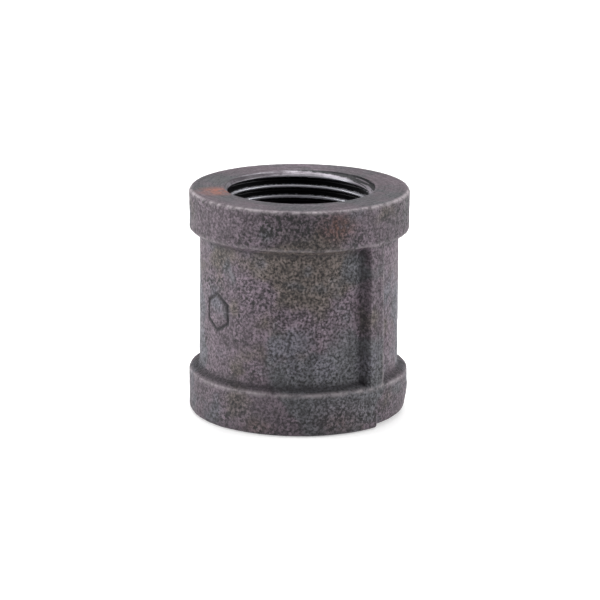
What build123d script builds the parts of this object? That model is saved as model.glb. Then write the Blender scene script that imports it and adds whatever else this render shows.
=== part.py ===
from build123d import *

import os
from math import atan, atan2, ceil, cos, degrees, radians, tan

# Malleable-iron straight pipe coupling, 3/4 inch, tapped with taper pipe thread from both ends.
#
# The casting stands on its lower end face: the bore runs along Z, the origin is the centre of
# the lower face, and the two lengthwise ribs lie on +X and -X, in the plane where the two
# halves of the sand mould met. Millimetres throughout.

# Overall size and the outside of the casting
overall_length = 38.6
upper_band_width = 6.75
lower_band_width = 7.25
band_height = 1.75
shoulder_length = 1.1
barrel_wall = 3.22
rib_width = 3.6
edge_radius = 0.5
foot_radius = 0.9
shoulder_radius = 0.4

# Taper pipe thread: sixty-degree form cut to eight tenths of the pitch, 14 turns to the inch,
# one in sixteen on the diameter
inch = 25.4
threads_per_inch = 14
pitch_diameter = 25.117
diameter_taper = 1 / 16
flank_angle = 60
height_share = 0.8
thread_length = 12.7
mouth_chamfer = 0.9
chamber_relief = 0.42
groove_mouth_angle = 110
bore_quarters = 4

# Founder's mark: a plain hexagon outline sunk into the barrel
mark_angle = -99
mark_sides = 6
mark_size = 6.4
mark_line = 0.55
mark_depth = 0.3

# What follows from the thread form; the sharp height is that of the uncut sixty-degree triangle
pitch = inch / threads_per_inch
half_flank = radians(flank_angle / 2)
sharp_height = pitch / 2 / tan(half_flank)
thread_height = height_share * pitch
half_cone = degrees(atan(diameter_taper / 2))

# What follows from the thread: bore, mouth, chamber, barrel and bands
bore_radius = (pitch_diameter - thread_height) / 2
mouth_radius = bore_radius + mouth_chamfer
major_radius = (pitch_diameter + thread_height) / 2
chamber_radius = major_radius + chamber_relief
barrel_radius = chamber_radius + barrel_wall
band_radius = barrel_radius + band_height
mid_height = overall_length / 2
upper_shoulder = overall_length - upper_band_width
corner_tangent = edge_radius * tan(atan2(band_height, shoulder_length) / 2)
chamber_end = thread_length + chamber_radius - bore_radius

# The tap runs from clear of the end face to clear of the thread, in whole turns. Its tooth is a
# little narrower than the pitch where it joins the shank, so that neighbouring turns stay apart.
tap_clearance = pitch
tap_turns = ceil((thread_length + 2 * tap_clearance) / pitch)
neck_width = 0.98 * pitch


def groove_width(depth_below_pitch_line):
    """Width of the sixty-degree groove, measured nearer the axis than its pitch line."""
    return 2 * (sharp_height / 2 + depth_below_pitch_line) * tan(half_flank)


# Outside of the casting: barrel, two end bands with sloped shoulders, one turned solid
with BuildPart() as casting:
    with BuildSketch(Plane.XZ) as outline:
        with BuildLine():
            Polyline(
                (0, 0),
                (band_radius, 0),
                (band_radius, lower_band_width),
                (barrel_radius, lower_band_width + shoulder_length),
                (barrel_radius, upper_shoulder - shoulder_length),
                (band_radius, upper_shoulder),
                (band_radius, overall_length),
                (0, overall_length),
                close=True,
            )
        make_face()
        band_corners = outline.vertices().group_by(Axis.X)[-1].sort_by(Axis.Y)
        fillet(band_corners[1:], radius=edge_radius)
        foot_corner = outline.vertices().group_by(Axis.X)[-1].sort_by(Axis.Y)[0]
        fillet(foot_corner, radius=foot_radius)
        shoulder_feet = outline.vertices().group_by(Axis.X)[1]
        fillet(shoulder_feet, radius=shoulder_radius)
    revolve(axis=Axis.Z)

    # Two ribs on the parting plane, flush with the bands and meeting them where their rounded
    # corners begin
    with BuildSketch(Plane.XY.offset(lower_band_width - corner_tangent)):
        Circle(band_radius)
        Rectangle(2 * band_radius, rib_width, mode=Mode.INTERSECT)
    extrude(amount=upper_shoulder - lower_band_width + 2 * corner_tangent)

    # Founder's mark, sunk square to the barrel wall
    mark_direction = Vector(1, 0, 0).rotate(Axis.Z, mark_angle)
    mark_floor = mark_direction * (barrel_radius - mark_depth) + Vector(0, 0, mid_height)
    mark_plane = Plane(origin=mark_floor, x_dir=(0, 0, 1), z_dir=mark_direction)
    with BuildSketch(mark_plane):
        RegularPolygon(mark_size / 2, mark_sides)
        RegularPolygon(mark_size / 2 - mark_line, mark_sides, mode=Mode.SUBTRACT)
    extrude(amount=band_height, mode=Mode.SUBTRACT)

# Waterway: parallel bore with a chamfered mouth at each end, and a wider cored chamber. It is
# cut a quarter turn at a time, so that every thread crest is bounded by four short faces.
with BuildPart() as bored_casting:
    add(casting.part)
    for quarter in range(bore_quarters):
        quarter_turn = 360 / bore_quarters
        quarter_plane = Plane(
            origin=(0, 0, 0),
            x_dir=Vector(1, 0, 0).rotate(Axis.Z, quarter * quarter_turn),
            z_dir=Vector(0, -1, 0).rotate(Axis.Z, quarter * quarter_turn),
        )
        with BuildSketch(quarter_plane):
            with BuildLine():
                Polyline(
                    (0, 0),
                    (mouth_radius, 0),
                    (bore_radius, mouth_chamfer),
                    (bore_radius, thread_length),
                    (chamber_radius, chamber_end),
                    (chamber_radius, overall_length - chamber_end),
                    (bore_radius, overall_length - thread_length),
                    (bore_radius, overall_length - mouth_chamfer),
                    (mouth_radius, overall_length),
                    (0, overall_length),
                    close=True,
                )
            make_face()
        revolve(axis=Axis.Z, revolution_arc=quarter_turn, clean=False, mode=Mode.SUBTRACT)

# The tap: one sixty-degree tooth carried along a right-hand helix on a one-in-sixteen cone.
# It stands point down in the upper end, and the groove leaves the face at groove_mouth_angle.
with BuildPart() as tap:
    tap_bottom = overall_length - (tap_turns - 1) * pitch
    tap_turn_edges = []
    for turn in range(tap_turns):
        turn_bottom = tap_bottom + turn * pitch
        turn_radius = (pitch_diameter - (overall_length - turn_bottom) * diameter_taper) / 2
        tap_turn = Helix(
            pitch=pitch / cos(radians(half_cone)),
            height=pitch,
            radius=turn_radius,
            center=(0, 0, turn_bottom),
            cone_angle=half_cone,
            mode=Mode.PRIVATE,
        )
        tap_turn_edges.append(tap_turn)
    tap_path = Wire(tap_turn_edges)
    tooth_plane = Plane(origin=tap_path @ 0, x_dir=(1, 0, 0), z_dir=tap_path % 0)
    with BuildSketch(tooth_plane):
        crest = thread_height / 2
        neck = neck_width / 2 / tan(half_flank) - sharp_height / 2
        shank = neck + pitch / 2
        half_crest = groove_width(-crest) / 2
        with BuildLine():
            Polyline(
                (crest, -half_crest),
                (crest, half_crest),
                (-neck, neck_width / 2),
                (-shank, neck_width / 4),
                (-shank, -neck_width / 4),
                (-neck, -neck_width / 2),
                close=True,
            )
        make_face()
    sweep(path=tap_path, is_frenet=True, clean=False)

# Both ends are tapped with the same tap, the lower one with the casting turned end for end
top_tap = tap.part.rotate(Axis.Z, groove_mouth_angle)
bottom_tap = top_tap.rotate(Axis((0, 0, mid_height), (1, 0, 0)), 180)
with BuildPart() as coupling_body:
    add(bored_casting.part, clean=False)
    add(top_tap, clean=False, mode=Mode.SUBTRACT)
    add(bottom_tap, clean=False, mode=Mode.SUBTRACT)

coupling_body.part.label = "coupling_body"
os.makedirs("parts", exist_ok=True)
export_step(coupling_body.part, "parts/coupling_body.step")
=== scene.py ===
from math import atan2, cos, pi, radians, sin, sqrt, tan

import bpy
import numpy as np
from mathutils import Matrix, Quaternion, Vector


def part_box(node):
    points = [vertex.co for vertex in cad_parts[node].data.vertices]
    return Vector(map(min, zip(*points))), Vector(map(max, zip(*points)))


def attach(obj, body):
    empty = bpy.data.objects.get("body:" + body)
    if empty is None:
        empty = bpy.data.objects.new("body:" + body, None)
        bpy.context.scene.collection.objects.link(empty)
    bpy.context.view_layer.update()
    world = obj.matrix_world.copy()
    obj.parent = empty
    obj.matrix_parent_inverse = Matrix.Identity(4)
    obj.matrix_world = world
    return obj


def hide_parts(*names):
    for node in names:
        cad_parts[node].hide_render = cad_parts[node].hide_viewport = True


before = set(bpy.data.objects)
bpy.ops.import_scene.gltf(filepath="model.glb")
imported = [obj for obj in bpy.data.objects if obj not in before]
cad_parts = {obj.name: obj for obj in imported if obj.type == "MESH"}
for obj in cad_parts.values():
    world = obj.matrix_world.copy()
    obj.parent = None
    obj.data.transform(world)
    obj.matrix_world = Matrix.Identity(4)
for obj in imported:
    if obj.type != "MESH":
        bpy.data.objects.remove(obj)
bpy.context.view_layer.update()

# ----------------------------------------------------------------------------------------------
# Coupling body: the casting. It is one sand casting of malleable iron, poured in a mould that
# splits through the two ribs, so it is grainy all over and its halves meet a little out of
# line. Sizes are in millimetres until the mesh is written in metres.
# ----------------------------------------------------------------------------------------------
METRE = 0.001
TURN = 2 * pi
high_corner = np.array(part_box("coupling_body")[1]) / METRE
full_height = high_corner[2]
band_radius = high_corner[0]
band_height = 1.75
barrel_radius = band_radius - band_height
upper_band_width = 6.75
lower_band_width = 7.25
shoulder_length = 1.1
rib_half_width = 1.6
rib_flank = 0.65
corner_radii = [0.6, 0.5, 0.5, 0.5, 0.5, 0.9]

# The cast mark: a plain hexagon outline sunk into the barrel
mark_angle = radians(-99)
mark_height = full_height / 2
mark_apothem = 2.75
mark_line = 0.28
mark_depth = 0.28


def lattice_noise(points, cell, seed):
    """Smooth random height from -1 to 1 at each point. Random values stand on a cubic lattice of
    the given cell, and each point blends the eight round it by the curve 3t² - 2t³."""
    values = np.random.default_rng(seed).uniform(-1, 1, (32, 32, 32))
    place = points / cell
    corner = np.floor(place).astype(int)
    blend = place - corner
    blend = blend * blend * (3 - 2 * blend)
    height = np.zeros(len(points))
    for step in np.ndindex(2, 2, 2):
        weight = np.prod(np.where(step, blend, 1 - blend), axis=1)
        index = (corner + step) % 32
        height += weight * values[index[:, 0], index[:, 1], index[:, 2]]
    return height


def smooth_step(start, end, value):
    """Rises from 0 at start to 1 at end along 3t² - 2t³."""
    t = np.clip((value - start) / (end - start), 0, 1)
    return t * t * (3 - 2 * t)


def turned_difference(angle, centre):
    """Signed difference between two angles, brought into half a turn either way."""
    return (angle - centre + pi) % TURN - pi


def crowded(count, start, end, centres, spread, extra):
    """Count + 1 places from start to end, crowded together near the centres: their density is
    one plus extra times a bell of the given spread round each centre, and places are read off
    the running sum of that density at even steps."""
    fine = np.linspace(start, end, 20001)
    density = np.ones(len(fine))
    for centre, width, gain in zip(centres, spread, extra):
        density += gain * np.exp(-(((fine - centre) / width) ** 4))
    running = np.concatenate([[0], np.cumsum((density[1:] + density[:-1]) / 2)])
    return np.interp(np.linspace(0, running[-1], count + 1), running, fine)


def filleted_path(corners, radii, steps):
    """Points along a path of straight runs whose corners are tangent arcs: each arc starts
    radius * tan(turn / 2) short of its corner and is cut into four, and each run is divided
    into the given steps."""
    corners = [np.array(corner, float) for corner in corners]
    path = [corners[0]]
    for i in range(1, len(corners) - 1):
        into = corners[i] - corners[i - 1]
        out = corners[i + 1] - corners[i]
        into, out = into / np.linalg.norm(into), out / np.linalg.norm(out)
        cross = into[0] * out[1] - into[1] * out[0]
        turn = abs(atan2(cross, into @ out))
        setback = radii[i - 1] * tan(turn / 2)
        begin = corners[i] - into * setback
        run = np.linspace(0, 1, steps[i - 1] + 1)[1:, None]
        path.extend(path[-1] * (1 - run) + begin * run)
        side = np.array([-into[1], into[0]]) * np.sign(cross)
        swing = np.linspace(0, turn, 5)[1:, None]
        arc = begin + radii[i - 1] * (into * np.sin(swing) + side * (1 - np.cos(swing)))
        path.extend(arc)
    run = np.linspace(0, 1, steps[-1] + 1)[1:, None]
    path.extend(path[-1] * (1 - run) + corners[-1] * run)
    return np.array(path)


# Section through the wall, from the upper end face down the outside to the lower end face
face_margin = 1.6
upper_shoulder = full_height - upper_band_width
outside = filleted_path(
    [
        (band_radius - face_margin, full_height),
        (band_radius, full_height),
        (band_radius, upper_shoulder),
        (barrel_radius, upper_shoulder - shoulder_length),
        (barrel_radius, lower_band_width + shoulder_length),
        (band_radius, lower_band_width),
        (band_radius, 0),
        (band_radius - face_margin, 0),
    ],
    radii=corner_radii,
    steps=[4, 14, 3, 72, 3, 14, 2],
)

# The outside is a grid of rows along that section and columns round the axis. Columns crowd
# together at the two ribs and at the cast mark, rows in the band of height that the mark covers.
thread_columns = 180
skin_columns = 2 * thread_columns
rib_spread, mark_spread = radians(9), radians(12.5)
rib_extra, mark_extra = 2.2, 1.6
column_angle = crowded(
    skin_columns, -pi, pi, [-pi, mark_angle, 0, pi],
    [rib_spread, mark_spread, rib_spread, rib_spread],
    [rib_extra, mark_extra, rib_extra, rib_extra],
)
barrel_rows = np.abs(outside[:, 0] - barrel_radius) < 0.001
barrel_span = outside[barrel_rows, 1]
mark_reach, mark_rows_extra = 4.2, 2.6
outside[barrel_rows, 1] = crowded(
    len(barrel_span) - 1, barrel_span[-1], barrel_span[0],
    [mark_height], [mark_reach], [mark_rows_extra],
)[::-1]


def rib_cover(angle, radius):
    """How much of the rib stands at an angle: 1 over its top, falling to 0 across its sloped
    flanks, by the sideways distance radius * sin(angle) from the plane through both ribs."""
    sideways = np.abs(radius * np.sin(angle))
    return 1 - smooth_step(rib_half_width, rib_half_width + rib_flank, sideways)


def hexagon_line(angle, height):
    """Bell-shaped cover of the hexagon's outline on the unrolled barrel: the distance to the
    hexagon is the largest of its three slanted coordinates, less the apothem."""
    across = turned_difference(angle, mark_angle) * barrel_radius
    across, along = np.broadcast_arrays(across, height - mark_height)
    slants = [across, across / 2 + along * sqrt(3) / 2, across / 2 - along * sqrt(3) / 2]
    gap = np.max(np.abs(slants), axis=0) - mark_apothem
    return np.exp(-((gap / mark_line) ** 2))


# ----------------------------------------------------------------------------------------------
# Coupling body: the two threads and the chamber between them. Each end is bored parallel,
# chamfered at the mouth, and cut with a taper tap of fourteen right-hand turns to the inch.
# Between them is the cored chamber that the taps run out into.
# ----------------------------------------------------------------------------------------------
inch = 25.4
pitch = inch / 14
pitch_diameter = 25.117
thread_taper = 1 / 16
sharp_height = pitch * sqrt(3) / 2
half_thread = 0.4 * pitch
root_share = 0.93
bore_radius = pitch_diameter / 2 - half_thread
mouth_chamfer = 0.95
thread_length = 12.7
chamber_radius = 13.7
groove_start = pi + radians(110)


def thread_wall(turn, depth):
    """Radius of the tapped wall. The sixty-degree groove is sharp_height deep to its vertex and
    follows a helix of one pitch a turn on a cone of 1 in 16; it is cut off flat at root and
    crest, opened by the mouth chamfer, and runs out into the chamber's sloped end."""
    lead = depth / pitch + (turn - groove_start) / TURN
    offset = np.abs(lead - np.round(lead)) * pitch
    pitch_radius = (pitch_diameter - depth * thread_taper) / 2
    groove = pitch_radius + sharp_height / 2 - offset * sqrt(3)
    groove = np.minimum(groove, pitch_radius + half_thread * root_share)
    chamfer = bore_radius + mouth_chamfer - depth
    run_out = np.minimum(bore_radius + depth - thread_length, chamber_radius)
    return np.maximum(np.maximum(groove, bore_radius), np.maximum(chamfer, run_out))


def helical_rows(turn, rows_per_pitch, deepest):
    """Rows that follow the helix: row j lies at depth (j / rows_per_pitch - turn) pitches, held
    between the mouth and the deepest row. Returns the depths and, for each place in the grid,
    the vertex that stands for it, so that held places share one vertex and a row that has gone
    once round joins the row one pitch above it."""
    rows = int(np.ceil(rows_per_pitch * (deepest / pitch + 1)))
    row, column = np.meshgrid(np.arange(rows + 1), np.arange(len(turn) + 1), indexing="ij")
    wrapped = column == len(turn)
    row = np.where(wrapped, row - rows_per_pitch, row)
    column = np.where(wrapped, 0, column)
    free = (row / rows_per_pitch - turn[column] / TURN) * pitch
    row = np.where(free <= 0, 0, np.where(free >= deepest, rows, row))
    every_row = np.arange(rows + 1)[:, None]
    depth = np.clip((every_row / rows_per_pitch - turn[None, :] / TURN) * pitch, 0, deepest)
    depth[0], depth[-1] = 0, deepest
    return depth, row * len(turn) + column


def ring_points(angle, radius, height):
    """Grid of points from angle, radius and height, each broadcast to rows by columns."""
    angle, radius, height = np.broadcast_arrays(angle, radius, height)
    return np.stack([radius * np.cos(angle), radius * np.sin(angle), height], axis=-1)


def grid_triangles(index):
    """Two triangles for each square of an index grid; squares with merged corners lose the
    triangles that have no area."""
    a, b, c, d = index[:-1, :-1], index[1:, :-1], index[1:, 1:], index[:-1, 1:]
    triangles = np.concatenate([np.stack([a, b, c], -1), np.stack([a, c, d], -1)]).reshape(-1, 3)
    kept = (np.diff(np.sort(triangles, axis=1), axis=1) > 0).all(axis=1)
    return triangles[kept]


def closed(index):
    """An index grid with its first column repeated after the last, to close the ring."""
    return np.concatenate([index, index[:, :1]], axis=1)


# Upper and lower threads, on every other column of the skin. The lower one is the upper one
# turned over about the X axis, so its turn angle runs the other way round.
upper_rows, lower_rows = 16, 8
tap_angle = column_angle[:-1:2]
tap_depth = thread_length + chamber_radius - bore_radius
upper_turn = tap_angle + pi
upper_depth, upper_index = helical_rows(upper_turn, upper_rows, tap_depth)
upper_wall = ring_points(tap_angle, thread_wall(upper_turn, upper_depth), full_height - upper_depth)
lower_turn = (TURN - upper_turn) % TURN
lower_order = np.argsort(lower_turn)
lower_turn = lower_turn[lower_order]
lower_depth, lower_index = helical_rows(lower_turn, lower_rows, tap_depth)
lower_wall = ring_points(tap_angle[lower_order], thread_wall(lower_turn, lower_depth), lower_depth)

# Chamber between the two threads
chamber_rows = 9
chamber_height = np.linspace(full_height - tap_depth, tap_depth, chamber_rows + 2)[1:-1, None]
chamber_wall = ring_points(tap_angle, chamber_radius, chamber_height)

# Skin: upper end face, outside, lower end face. The faces reach in to the mouth, whose edge is
# eaten away where the thread groove comes out through it.
face_share = np.array([0.03, 0.09, 0.2, 0.32, 0.44, 0.56, 0.68, 0.79, 0.9])[:, None]
skin_angle = column_angle[:-1]
face_edge = band_radius - face_margin
upper_mouth = thread_wall(skin_angle + pi, 0 * skin_angle)
lower_mouth = thread_wall(pi - skin_angle, 0 * skin_angle)
upper_radius = upper_mouth + (face_edge - upper_mouth) * face_share
lower_radius = lower_mouth + (face_edge - lower_mouth) * face_share
upper_face = ring_points(skin_angle, upper_radius, full_height)
lower_face = ring_points(skin_angle, lower_radius, 0.0)

path_radius, path_height = outside[:, :1], outside[:, 1:]
between_bands = (path_height > lower_band_width - 0.5) & (path_height < upper_shoulder + 0.5)
rib = rib_cover(skin_angle[None, :], band_radius) * between_bands
wall_radius = path_radius + (band_radius - path_radius) * rib
outline = hexagon_line(skin_angle[None, :], path_height)
outside_wall = ring_points(skin_angle, wall_radius - mark_depth * outline, path_height)
skin = np.concatenate([upper_face, outside_wall, lower_face[::-1]])

# One list of points, with the index grid of each stretch of the wall counted on from the last
stretches = [upper_wall, chamber_wall, lower_wall, skin]
starts = np.cumsum([0] + [stretch.shape[0] * stretch.shape[1] for stretch in stretches])
points = np.concatenate([stretch.reshape(-1, 3) for stretch in stretches])
upper_grid = upper_index
chamber_own = starts[1] + np.arange(chamber_wall[..., 0].size).reshape(chamber_wall.shape[:2])
lower_grid = starts[2] + lower_index
skin_own = starts[3] + np.arange(skin[..., 0].size).reshape(skin.shape[:2])
skin_grid = closed(skin_own)
lower_column = np.argsort(lower_order)
chamber_top = upper_grid[-1:, :-1]
chamber_foot = lower_grid[-1:, :-1][:, lower_column]
chamber_grid = closed(np.concatenate([chamber_top, chamber_own, chamber_foot]))


def face_seam(mouth, ring):
    """Triangles between a mouth ring and a skin ring with twice as many points: each mouth edge
    faces two skin edges, so it takes three triangles."""
    m, n = mouth, np.roll(mouth, -1)
    p, q, r = ring[::2], ring[1::2], np.roll(ring[::2], -1)
    fan = [np.stack([m, p, q], -1), np.stack([m, q, n], -1), np.stack([n, q, r], -1)]
    return np.concatenate(fan)


upper_seam = face_seam(upper_grid[0, :-1], skin_own[0])
lower_seam = face_seam(lower_grid[0, :-1][lower_column], skin_own[-1])[:, ::-1]
tapped = np.concatenate([grid_triangles(upper_grid), grid_triangles(lower_grid)])[:, ::-1]
cored = grid_triangles(chamber_grid)[:, ::-1]
cast = np.concatenate([grid_triangles(skin_grid), upper_seam, lower_seam])
triangles = np.concatenate([tapped, cored, cast])
finish_of_triangle = np.repeat([1, 0, 0], [len(tapped), len(cored), len(cast)])

# Points that a held row left unused are dropped, and the rest are numbered again
used, triangles = np.unique(triangles, return_inverse=True)
triangles = triangles.reshape(-1, 3)
points = points[used]
stretch_of_point = np.searchsorted(starts, used, side="right") - 1


# ----------------------------------------------------------------------------------------------
# Coupling body: the sand's relief, and where pale rubbed edges with painted highlights, painted
# shade and the painted shade of the thread grooves lie. The skin is lumpy at the size of a
# fingertip and grainy at the size of the sand. The faced ends and the threads are cut metal,
# so they carry only faint tool marks.
# ----------------------------------------------------------------------------------------------
def mesh_of(name, points, triangles):
    """A mesh from an array of points in millimetres and an array of triangles."""
    mesh = bpy.data.meshes.new(name)
    mesh.vertices.add(len(points))
    mesh.vertices.foreach_set("co", (points * METRE).ravel())
    mesh.loops.add(triangles.size)
    mesh.loops.foreach_set("vertex_index", triangles.ravel())
    mesh.polygons.add(len(triangles))
    mesh.polygons.foreach_set("loop_start", np.arange(len(triangles)) * 3)
    mesh.polygons.foreach_set("use_smooth", np.ones(len(triangles), dtype=bool))
    mesh.update(calc_edges=True)
    mesh.validate()
    return mesh


def layered_noise(points, layers):
    """Sum of lattice noises, one for each layer of height in millimetres, cell and seed."""
    return sum(depth * lattice_noise(points, cell, seed) for depth, cell, seed in layers)


def near_ring(points, ring_radius, ring_height, reach):
    """Bell round a circle about the axis: 1 on it, falling off over the reach."""
    radius = np.hypot(points[:, 0], points[:, 1])
    gap = np.hypot(radius - ring_radius, points[:, 2] - ring_height)
    return np.exp(-((gap / reach) ** 2))


angle = np.arctan2(points[:, 1], points[:, 0])
radius = np.hypot(points[:, 0], points[:, 1])
height = points[:, 2]
end_distance = np.minimum(height, full_height - height)
on_skin = stretch_of_point == 3
in_chamber = stretch_of_point == 1
faced = on_skin * (1 - smooth_step(0.02, 0.3, end_distance))
as_cast = np.where(on_skin, 1 - faced, in_chamber.astype(float))

coupling_mesh = mesh_of("coupling_body", points, triangles)
normals = np.empty(3 * len(points))
coupling_mesh.vertex_normals.foreach_get("vector", normals)
normals = normals.reshape(-1, 3)

# Lumps of the mould, then sand, then shallow pits where grains stuck and were shaken out
pit_depth = 0.13
lumps = layered_noise(points, [(0.10, 9.0, 3), (0.055, 3.4, 4)])
sand = layered_noise(points, [(0.032, 1.35, 5), (0.03, 0.62, 6)])
pits = pit_depth * smooth_step(0.55, 0.8, lattice_noise(points, 1.1, 7))
tool_marks = layered_noise(points, [(0.012, 1.6, 8), (0.008, 0.7, 9)])
relief = as_cast * (lumps + sand - pits) + (1 - as_cast) * tool_marks
points = points + normals * relief[:, None]

# The two halves of the mould sit a little out of line along the ribs, and from the +X rib on
# the lower edge is ground back, most at the foot and fading out up the band
half_shift = 0.16
rear_half = smooth_step(-0.12, 0.12, points[:, 1]) - 0.5
points[:, 0] -= half_shift * rear_half * as_cast * on_skin
ground_depth, ground_lift = 0.5, 0.35
ground_in_to, ground_up_to, lift_up_to = band_radius - 2.6, 4.2, 2.5
ground = smooth_step(0, radians(1.5), angle) * (1 - smooth_step(radians(42), radians(72), angle))
ground = ground * on_skin * smooth_step(ground_in_to, band_radius - 0.6, radius)
points[:, 2] += ground_lift * ground * (1 - smooth_step(0, lift_up_to, height))
pulled_in = ground_depth * ground * (1 - smooth_step(0, ground_up_to, height))
points[:, :2] *= 1 - (pulled_in / band_radius)[:, None]
points[:, 2] = np.clip(points[:, 2], 0, full_height)
coupling_mesh.vertices.foreach_set("co", (points * METRE).ravel())

# Where edges are rubbed pale and carry painted highlights, where painted shade lies in the
# corners at the band feet, at the rib feet and in the cast mark's line, the faced ends and,
# inside the thread, how deep below the crests and the chamfer a point lies
# Pale rubbed edges with painted highlights: round the upper rim, along the lower band's top edge
# and at the upper band's foot
rim_wear_and_highlight = 1.3 * near_ring(points, band_radius - 0.1, full_height - 0.1, 0.34)
band_wear_and_highlight = 0.8 * near_ring(points, band_radius, lower_band_width, 0.34)
band_wear_and_highlight += 0.45 * near_ring(points, band_radius, upper_shoulder, 0.3)
# Painted shade: the corners at the foot of the bands, above the lower band and under the upper
# band, are darkened
foot_shade = 0.8 * near_ring(points, barrel_radius + 0.6, lower_band_width + 0.7, 0.8)
foot_shade += 0.6 * near_ring(points, barrel_radius + 0.2, upper_shoulder - shoulder_length, 0.45)
sideways = band_radius * np.sin(angle)
on_rib = (radius > band_radius - 0.5) * (height > lower_band_width) * (height < upper_shoulder)
# Painted highlight along one edge of each rib's top, the +Y one, which catches the light
rib_edge_highlight = 0.6 * np.exp(-(((sideways - rib_half_width) / 0.25) ** 2)) * on_rib
# Painted shade along the foot of both flanks of each rib
flank_gap = np.abs(np.abs(sideways) - rib_half_width - rib_flank)
rib_foot_shade = 0.5 * np.exp(-((flank_gap / 0.48) ** 2)) * (radius < band_radius - 0.5)
# Painted shade in the sunk line of the cast mark
mark_line_shade = 1.9 * hexagon_line(angle, height)
# The groove mask below marks where the thread's grooves are painted black as shade
uncut_wall = bore_radius + np.maximum(mouth_chamfer - end_distance, 0)
past_mouth = smooth_step(0.5, 1.1, end_distance)
groove = smooth_step(0.1, 0.42 + 0.2 * past_mouth, radius - uncut_wall)
masks = {
    "wear_and_highlight": (rim_wear_and_highlight + band_wear_and_highlight + rib_edge_highlight) * on_skin,
    "painted_shade": np.clip(foot_shade + rib_foot_shade + mark_line_shade, 0, 1) * as_cast * on_skin,
    "faced": faced,
    "groove": groove,
    "crest": past_mouth * (1 - as_cast),
    "proud": smooth_step(barrel_radius + 0.5, band_radius - 0.4, radius) * (1 - faced),
}
for mask_name, values in masks.items():
    layer = coupling_mesh.attributes.new(mask_name, "FLOAT", "POINT")
    layer.data.foreach_set("value", np.ascontiguousarray(values, dtype=np.float32))
coupling_mesh.polygons.foreach_set("material_index", finish_of_triangle.astype(np.int32))
coupling_mesh.update()

coupling = bpy.data.objects.new("coupling_casting", coupling_mesh)
bpy.context.scene.collection.objects.link(coupling)
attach(coupling, "root")
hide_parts("coupling_body")


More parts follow.
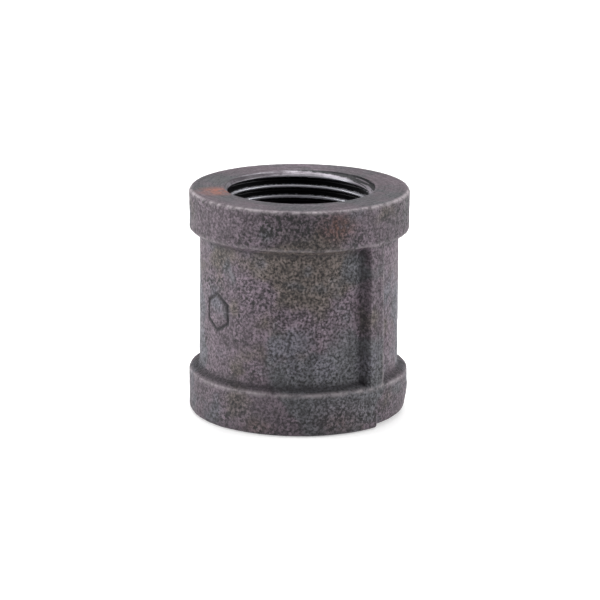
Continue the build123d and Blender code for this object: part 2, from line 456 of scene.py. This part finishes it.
# ----------------------------------------------------------------------------------------------
# Finish of the skin: black iron oxide baked on in annealing, mottled mauve, olive and grey-green
# where it is thick or thin, with the sand's speckle, pale rubbed edges with painted highlights,
# painted shade in the corners, a painted blue-grey sheen down the two sides, and a bloom of
# rust on the upper face.
# ----------------------------------------------------------------------------------------------
class Nodes:
    """Short way to add and join the nodes of one material."""

    def __init__(self, name):
        self.material = bpy.data.materials.new(name)
        self.material.use_nodes = True
        self.tree = self.material.node_tree
        self.shader = self.tree.nodes["Principled BSDF"]
        self.place = self.add("ShaderNodeTexCoord").outputs["Object"]

    def add(self, kind, **settings):
        """One node, with settings for its own properties and for its input sockets."""
        node = self.tree.nodes.new(kind)
        for key, value in settings.items():
            if hasattr(node, key):
                setattr(node, key, value)
            else:
                self.feed(node.inputs[key.replace("_", " ")], value)
        return node

    def feed(self, socket, value):
        """Joins an output to a socket, or sets the socket's own value."""
        if isinstance(value, bpy.types.NodeSocket):
            self.tree.links.new(value, socket)
        else:
            socket.default_value = value

    def noise(self, size, detail=2.0, roughness=0.5, distortion=0.0, offset=(0, 0, 0)):
        """Noise from 0 to 1 with features of the given size in millimetres."""
        mapping = self.add("ShaderNodeMapping", Vector=self.place, Location=offset)
        texture = self.add(
            "ShaderNodeTexNoise", Vector=mapping.outputs[0], Scale=1 / (size * METRE),
            Detail=detail, Roughness=roughness, Distortion=distortion,
        )
        return texture.outputs["Fac"]

    def streaks(self, size):
        """Noise that runs round with the tool: it varies with the distance from the axis and
        with the height, and only slowly round the turn."""
        level = self.add("ShaderNodeVectorMath", operation="MULTIPLY")
        self.feed(level.inputs[0], self.place)
        level.inputs[1].default_value = (1, 1, 0)
        length = self.add("ShaderNodeVectorMath", operation="LENGTH")
        self.feed(length.inputs[0], level.outputs[0])
        drift = self.add("ShaderNodeVectorMath", operation="MULTIPLY_ADD")
        self.feed(drift.inputs[0], self.place)
        drift.inputs[1].default_value = (0.06, 0.06, 1)
        outwards = self.add("ShaderNodeCombineXYZ", X=length.outputs["Value"])
        self.feed(drift.inputs[2], outwards.outputs[0])
        texture = self.add(
            "ShaderNodeTexNoise", Vector=drift.outputs[0], Scale=1 / (size * METRE), Detail=3.0
        )
        return texture.outputs["Fac"]

    def band(self, value, low, high, to_low=0.0, to_high=1.0):
        """Value stretched smoothly from low..high to to_low..to_high."""
        node = self.add("ShaderNodeMapRange", interpolation_type="SMOOTHSTEP", Value=value)
        for key, number in zip(("From Min", "From Max", "To Min", "To Max"),
                               (low, high, to_low, to_high)):
            node.inputs[key].default_value = number
        return node.outputs[0]

    def math(self, operation, first, second=0.0):
        """One sum on two values."""
        node = self.add("ShaderNodeMath", operation=operation)
        self.feed(node.inputs[0], first)
        self.feed(node.inputs[1], second)
        return node.outputs[0]

    def mix(self, share, first, second, blend="MIX"):
        """Colour that goes from the first to the second as share goes from 0 to 1."""
        node = self.add("ShaderNodeMix", data_type="RGBA", blend_type=blend)
        for index, value in ((0, share), (6, first), (7, second)):
            self.feed(node.inputs[index], value)
        return node.outputs[2]

    def shaded(self, colour, value):
        """The colour times a value, which may be above one."""
        grey = self.add("ShaderNodeCombineColor")
        for channel in grey.inputs:
            self.feed(channel, value)
        return self.mix(1.0, colour, grey.outputs[0], "MULTIPLY")

    def mask(self, name):
        """A mask that the mesh carries, from 0 to 1."""
        return self.add("ShaderNodeAttribute", attribute_name=name).outputs["Fac"]

    def near(self, centre, size):
        """1 at a place given in millimetres, falling to 0 at a distance of size each way."""
        move = self.add("ShaderNodeVectorMath", operation="SUBTRACT")
        self.feed(move.inputs[0], self.place)
        self.feed(move.inputs[1], [c * METRE for c in centre])
        scale = self.add("ShaderNodeVectorMath", operation="DIVIDE")
        self.feed(scale.inputs[0], move.outputs[0])
        self.feed(scale.inputs[1], [c * METRE for c in size])
        length = self.add("ShaderNodeVectorMath", operation="LENGTH")
        self.feed(length.inputs[0], scale.outputs[0])
        return self.band(length.outputs["Value"], 0.0, 1.0, 1.0, 0.0)

    def wall_patch(self, degrees_round, height, reach, tall, strength=1.0):
        """Patch on the outside: strength at its middle, which lies at an angle round the axis
        and a height, falling to 0 at reach sideways and at tall up and down."""
        turn = radians(degrees_round)
        middle = (band_radius * cos(turn), band_radius * sin(turn), height)
        return self.math("MULTIPLY", self.near(middle, (reach, reach, tall)), strength)


def black_iron_skin():
    """Oxide skin: patch colours by slow noise, helped where the patches are large, with a painted
    blue-grey sheen down the sides, speckle by sand-size noise, then painted shade in the corners,
    edges lightened as rubbed metal and painted highlight, and rust laid over it."""
    n = Nodes("black iron skin")
    # Among these, a near-black stands for painted shade, a blue-grey for a painted sheen, and a
    # pale iron for rubbed edges and painted highlights
    mauve, pale_mauve = (0.086, 0.065, 0.081, 1), (0.108, 0.086, 0.104, 1)
    olive, shade_black = (0.067, 0.054, 0.049, 1), (0.012, 0.01, 0.013, 1)
    iron_grey, sheen_blue_grey = (0.057, 0.057, 0.064, 1), (0.074, 0.071, 0.086, 1)
    scorched, pit_black = (0.025, 0.022, 0.024, 1), (0.01, 0.009, 0.01, 1)
    dark_rust, bright_rust = (0.075, 0.035, 0.028, 1), (0.25, 0.092, 0.065, 1)
    faced_mauve, faced_grey = (0.074, 0.056, 0.068, 1), (0.046, 0.047, 0.053, 1)
    faced_pink, rubbed_and_lit_iron = (0.13, 0.1, 0.125, 1), (0.36, 0.32, 0.34, 1)

    # Oxide colours, each where its own slow noise and its fields add up
    olive_field = n.wall_patch(-42, 28.5, 14, 10.5, 0.42)
    grey_field = n.math(
        "SUBTRACT", n.wall_patch(-24, 9, 19, 14, 0.42), n.wall_patch(-66, 4, 9, 7, 0.42)
    )
    # Blue-grey: a painted sheen down the two sides that the camera sees edge-on
    side_sheen_field = n.math(
        "ADD", n.wall_patch(-130, 19, 13, 24, 0.25), n.wall_patch(38, 15, 12, 20, 0.25)
    )
    pale_field = n.math("ADD", n.wall_patch(-30, 18, 9, 6, 0.45), n.wall_patch(-66, 3, 9, 6, 0.45))
    pale_field = n.math("ADD", pale_field, n.wall_patch(-22, 3, 9, 5, 0.45))
    dark_field = n.math(
        "MAXIMUM", n.wall_patch(-43, 36, 10, 5, 0.45), n.wall_patch(28, 35.5, 13, 5, 0.3)
    )
    olive_noise = n.math("ADD", n.noise(7, 4), olive_field)
    grey_noise = n.math("ADD", n.noise(8, 4, offset=(0.03, 0, 0)), grey_field)
    side_sheen_noise = n.math("ADD", n.noise(9, 4, offset=(0.02, 0.07, 0.04)), side_sheen_field)
    colour = n.mix(n.band(olive_noise, 0.54, 0.7), mauve, olive)
    colour = n.mix(n.band(grey_noise, 0.55, 0.68), colour, iron_grey)
    colour = n.mix(n.band(side_sheen_noise, 0.56, 0.7), colour, sheen_blue_grey)
    colour = n.mix(pale_field, colour, pale_mauve)
    colour = n.mix(dark_field, colour, scorched)
    rusty = n.math("MAXIMUM", n.wall_patch(-25, 35.8, 5, 3.6), n.wall_patch(-66, 1.5, 5, 2, 0.3))
    rusty = n.math("MAXIMUM", rusty, n.wall_patch(-23, 2, 5, 3, 0.35))
    rusty = n.math("MULTIPLY", rusty, n.band(n.noise(1.1, 4), 0.25, 0.55))
    colour = n.mix(rusty, colour, dark_rust)

    # Sand grain, coarser in contrast where the mould was hottest, and pits that hold dirt
    speckle = n.noise(0.43, 3, 0.65)
    grain = n.band(speckle, 0.31, 0.7, 0.18, 2.25)
    coarse_field = n.math("ADD", n.wall_patch(-42, 27, 17, 20), n.wall_patch(-24, 8, 15, 12, 0.6))
    coarse = n.band(n.math("ADD", n.noise(6, 3), coarse_field), 0.4, 1.1, 0.6, 1.1)
    contrast = n.math("MULTIPLY", n.math("SUBTRACT", grain, 1.0), coarse)
    grain = n.math("MAXIMUM", n.math("ADD", 1.0, contrast), 0.12)
    drift = n.band(n.noise(1.6, 4, 0.7), 0.3, 0.7, 0.65, 1.3)
    colour = n.shaded(colour, n.math("MULTIPLY", grain, drift))
    dots = n.band(n.noise(0.65, 1, offset=(0.013, 0.021, 0.005)), 0.53, 0.6)
    dotted = n.band(n.math("ADD", n.noise(6, 2), dark_field), 0.35, 0.75)
    colour = n.mix(n.math("MULTIPLY", dots, dotted), colour, pit_black)

    # Faced ends: thinner oxide over the turning marks, and a bloom of rust
    faced_tint = n.mix(n.band(n.noise(7, 4), 0.4, 0.6), faced_mauve, faced_grey)
    pink = n.near((-11, 11, 38.6), (12, 12, 3))
    pink = n.math("MULTIPLY", pink, n.band(n.noise(1.5, 3), 0.3, 0.7))
    faced_tint = n.mix(pink, faced_tint, faced_pink)
    turning = n.band(n.streaks(0.35), 0.35, 0.65, 0.75, 1.35)
    faced_grain = n.math("MULTIPLY", n.band(n.noise(0.7, 4, 0.7), 0.3, 0.7, 0.65, 1.4), turning)
    faced_tint = n.shaded(faced_tint, faced_grain)
    colour = n.mix(n.math("MULTIPLY", n.mask("faced"), 0.85), colour, faced_tint)
    rust = n.near((-7.2, -12.4, 38.6), (4.5, 4.5, 2))
    rust = n.math("MULTIPLY", rust, n.band(n.noise(1.3, 4), 0.32, 0.55))
    colour = n.mix(rust, colour, bright_rust)

    # Painted shade in the corners, at the rib feet and in the cast mark's line; rubbed edges with
    # painted highlights; and handling grime on all that stands proud
    painted_shade = n.math("MULTIPLY", n.mask("painted_shade"), n.band(n.noise(1.0, 3), 0.25, 0.5, 0.6, 1.0))
    colour = n.mix(painted_shade, colour, shade_black)
    # The pale edge colour below is rubbed metal and painted highlight together
    edge_breakup = n.band(n.noise(2.1, 4, 0.75), 0.36, 0.6, 0.12, 0.9)
    colour = n.mix(n.math("MULTIPLY", n.mask("wear_and_highlight"), edge_breakup), colour, rubbed_and_lit_iron)
    colour = n.shaded(colour, n.band(n.mask("proud"), 0.0, 1.0, 1.05, 0.85))
    n.feed(n.shader.inputs["Base Color"], colour)
    n.shader.inputs["Metallic"].default_value = 0.2
    n.feed(n.shader.inputs["Roughness"], n.band(speckle, 0.3, 0.7, 0.75, 0.5))
    height = n.math("ADD", speckle, n.math("MULTIPLY", n.noise(0.2, 2), 0.4))
    bump = n.add("ShaderNodeBump", Height=height, Distance=0.00018, Strength=0.8)
    n.feed(n.shader.inputs["Normal"], bump.outputs[0])
    return n.material


coupling_mesh.materials.append(black_iron_skin())


# ----------------------------------------------------------------------------------------------
# Finish of the threads: tapped after the oxide was baked on, so the crests are bare metal,
# painted lighter still down the bore against its shade. The mouth chamfer is dull, and the
# grooves and the place where the first groove breaks out are painted black as shade.
# ----------------------------------------------------------------------------------------------
def cut_thread():
    """Tapped iron: dull chamfer, bare crests painted lighter as light, and grooves painted black as
    shade, by how deep below the crests a place lies; where the first groove breaks out through the
    chamfer it is painted dark as shade."""
    n = Nodes("cut thread")
    dull, scraped, stained = (0.1, 0.09, 0.1, 1), (0.27, 0.25, 0.28, 1), (0.08, 0.068, 0.08, 1)
    bare_and_lit_metal, breakout_shade_colour = (0.42, 0.42, 0.46, 1), (0.13, 0.11, 0.13, 1)
    groove_shade_black = (0.012, 0.012, 0.014, 1)
    mouth = n.mix(n.band(n.streaks(0.3), 0.35, 0.65), dull, scraped)
    mouth = n.mix(n.band(n.noise(2.5, 4, 0.7), 0.45, 0.65), mouth, stained)
    # Past the mouth the cut metal is bare, and is painted lighter than the chamfer to make up for
    # the shade of the bore
    metal = n.mix(n.mask("crest"), mouth, bare_and_lit_metal)
    # Painted shade where the first groove breaks out through the chamfer: a darker, duller colour
    # and more black
    breakout_patch = n.band(n.near((6.0, 11.0, 38.3), (10, 10, 4)), 0.15, 0.65)
    metal = n.mix(n.math("MULTIPLY", breakout_patch, 0.8), metal, breakout_shade_colour)
    # Painted shade: the grooves are painted near black
    groove_shade = n.math("ADD", n.mask("groove"), n.band(n.noise(0.5, 3), 0.2, 0.8, -0.3, 0.3))
    breakout_streaks = n.math("MULTIPLY", breakout_patch, n.band(n.streaks(0.3), 0.4, 0.6, -0.8, 0.8))
    colour = n.mix(n.band(n.math("ADD", groove_shade, breakout_streaks), 0.25, 0.8), metal, groove_shade_black)
    roughness = n.band(n.noise(0.6, 3), 0.3, 0.7, 0.3, 0.5)
    roughness = n.math("ADD", roughness, n.math("MULTIPLY", breakout_patch, 0.45))
    n.feed(n.shader.inputs["Base Color"], colour)
    n.feed(n.shader.inputs["Metallic"], n.band(breakout_patch, 0.0, 1.0, 0.7, 0.1))
    n.feed(n.shader.inputs["Roughness"], roughness)
    bump = n.add("ShaderNodeBump", Height=n.noise(0.3, 3), Distance=0.00006, Strength=0.6)
    n.feed(n.shader.inputs["Normal"], bump.outputs[0])
    return n.material


coupling_mesh.materials.append(cut_thread())


# ----------------------------------------------------------------------------------------------
# Floor: a wide disc of white board for the coupling to stand on, lit a little from below as the
# top of a light table is. It lies a hair below the foot, so the two never share a plane.
# ----------------------------------------------------------------------------------------------
floor_radius, floor_height, floor_sides = 3000.0, -0.01, 64
floor_rim = ring_points(np.arange(floor_sides) * TURN / floor_sides, floor_radius, floor_height)
floor_mesh = bpy.data.meshes.new("floor")
floor_mesh.from_pydata((floor_rim * METRE).tolist(), [], [list(range(floor_sides))])
floor = bpy.data.objects.new("floor", floor_mesh)
bpy.context.scene.collection.objects.link(floor)
floor_paint = Nodes("white board")
floor_paint.shader.inputs["Base Color"].default_value = (0.75, 0.75, 0.75, 1)
floor_paint.shader.inputs["Emission Color"].default_value = (1, 1, 1, 1)
floor_paint.shader.inputs["Emission Strength"].default_value = 0.4
floor_paint.shader.inputs["Roughness"].default_value = 0.9
floor_mesh.materials.append(floor_paint.material)


# ----------------------------------------------------------------------------------------------
# Light: a pale room, with a large soft panel overhead and a little behind, and one upright
# panel on each side, the left one brighter.
# ----------------------------------------------------------------------------------------------
world = bpy.data.worlds.new("pale room")
bpy.context.scene.world = world
world.use_nodes = True
room = world.node_tree.nodes["Background"]
room.inputs["Color"].default_value = (1, 1, 1, 1)
room.inputs["Strength"].default_value = 0.35
middle = Vector((0, 0, full_height / 2 * METRE))
camera_azimuth, camera_elevation = radians(45), radians(14.8)


def direction(azimuth, elevation):
    """Unit vector towards a place at an azimuth, counted from -Y towards +X, and an elevation."""
    level = cos(elevation)
    return Vector((sin(azimuth) * level, -cos(azimuth) * level, sin(elevation)))


def soft_panel(name, azimuth, elevation, distance, width, tall, watts):
    """Area light that faces the coupling from an azimuth, counted from the camera's, and an
    elevation, both in degrees."""
    light = bpy.data.lights.new(name, "AREA")
    light.shape = "RECTANGLE"
    light.size, light.size_y, light.energy = width, tall, watts
    panel = bpy.data.objects.new(name, light)
    towards = direction(camera_azimuth + radians(azimuth), radians(elevation))
    panel.location = middle + towards * distance
    panel.rotation_mode = "QUATERNION"
    panel.rotation_quaternion = towards.to_track_quat("Z", "Y")
    bpy.context.scene.collection.objects.link(panel)


soft_panel("left panel", -88, 15, 0.7, 0.5, 0.6, 5.2)
soft_panel("right panel", 92, 15, 0.7, 0.5, 0.6, 4.4)
soft_panel("top panel", 180, 70, 0.9, 0.9, 0.9, 8.5)


# ----------------------------------------------------------------------------------------------
# Camera: a long lens a little above the coupling, turned so that one rib stands right of the
# middle, and rolled a little, as a hand-held one is.
# ----------------------------------------------------------------------------------------------
camera_data = bpy.data.cameras.new("camera")
camera_data.sensor_width, camera_data.lens = 36, 196.9
camera_distance, camera_roll = 0.56, radians(0.4)
aim_right, aim_down = 0.0002, 0.0005
camera = bpy.data.objects.new("camera", camera_data)
bpy.context.scene.collection.objects.link(camera)
back = direction(camera_azimuth, camera_elevation)
look_right = Vector((cos(camera_azimuth), sin(camera_azimuth), 0))
target = middle + look_right * aim_right - Vector((0, 0, aim_down))
camera.rotation_mode = "QUATERNION"
roll = Quaternion((0, 0, 1), camera_roll)
camera.rotation_quaternion = back.to_track_quat("Z", "Y") @ roll
camera.location = target + back * camera_distance
camera_data.clip_start, camera_data.clip_end = 0.01, 20
bpy.context.scene.camera = camera
bpy.context.scene.view_settings.view_transform = "Standard"
